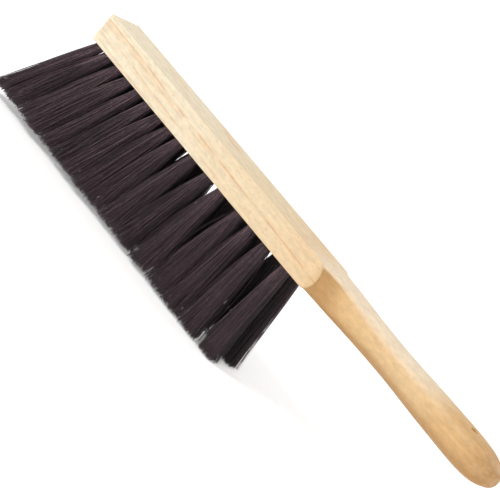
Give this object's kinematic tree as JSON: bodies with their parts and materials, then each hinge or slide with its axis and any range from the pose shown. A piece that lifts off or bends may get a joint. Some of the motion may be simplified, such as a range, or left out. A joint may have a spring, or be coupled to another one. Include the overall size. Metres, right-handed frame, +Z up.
{
  "type": "bee brush",
  "caption": "Slim wooden brush with a handle in line with its block and two rows of long dark horsehair tufts, for brushing bees off a comb.",
  "frame": {"origin": "under the middle of the bounding box, at the level of the lowest bristle tips", "axes": "+X from the free end of the block to the handle, +Z up from the bristle tips to the block, -Y towards the front row of tufts"},
  "size_m": [0.3882, 0.0286, 0.0794],
  "materials": {
    "beech": "satin",
    "horsehair": "satin",
    "anchor_wire": "satin"
  },
  "bodies": {
    "block": {"handle_block": "beech", "front_tuft_roots": "horsehair", "back_tuft_roots": "horsehair", "front_wire_anchors": "anchor_wire", "back_wire_anchors": "anchor_wire"},
    "front_row": {"front_tuft_01": "horsehair", "front_tuft_02": "horsehair", "front_tuft_03": "horsehair", "front_tuft_04": "horsehair", "front_tuft_05": "horsehair", "front_tuft_06": "horsehair", "front_tuft_07": "horsehair", "front_tuft_08": "horsehair", "front_tuft_09": "horsehair", "front_tuft_10": "horsehair", "front_tuft_11": "horsehair", "front_tuft_12": "horsehair", "front_tuft_13": "horsehair", "front_tuft_14": "horsehair", "front_tuft_15": "horsehair", "front_tuft_16": "horsehair"},
    "back_row": {"back_tuft_01": "horsehair", "back_tuft_02": "horsehair", "back_tuft_03": "horsehair", "back_tuft_04": "horsehair", "back_tuft_05": "horsehair", "back_tuft_06": "horsehair", "back_tuft_07": "horsehair", "back_tuft_08": "horsehair", "back_tuft_09": "horsehair", "back_tuft_10": "horsehair", "back_tuft_11": "horsehair", "back_tuft_12": "horsehair", "back_tuft_13": "horsehair", "back_tuft_14": "horsehair", "back_tuft_15": "horsehair", "back_tuft_16": "horsehair", "back_tuft_17": "horsehair", "back_tuft_18": "horsehair"}
  },
  "joints": [
    {"name": "front_row_flex", "type": "hinge", "parent": "block", "child": "front_row", "pos_m": [0, -0.00671, 0.05764], "axis": [1, 0, 0], "range_deg": [-25, 25], "stiffness_Nm_per_rad": 0.1},
    {"name": "back_row_flex", "type": "hinge", "parent": "block", "child": "back_row", "pos_m": [0, 0.00671, 0.05764], "axis": [1, 0, 0], "range_deg": [-25, 25], "stiffness_Nm_per_rad": 0.1}
  ],
  "couplings": [
    {"joint": "back_row_flex", "follows": "front_row_flex", "ratio": 1}
  ]
}
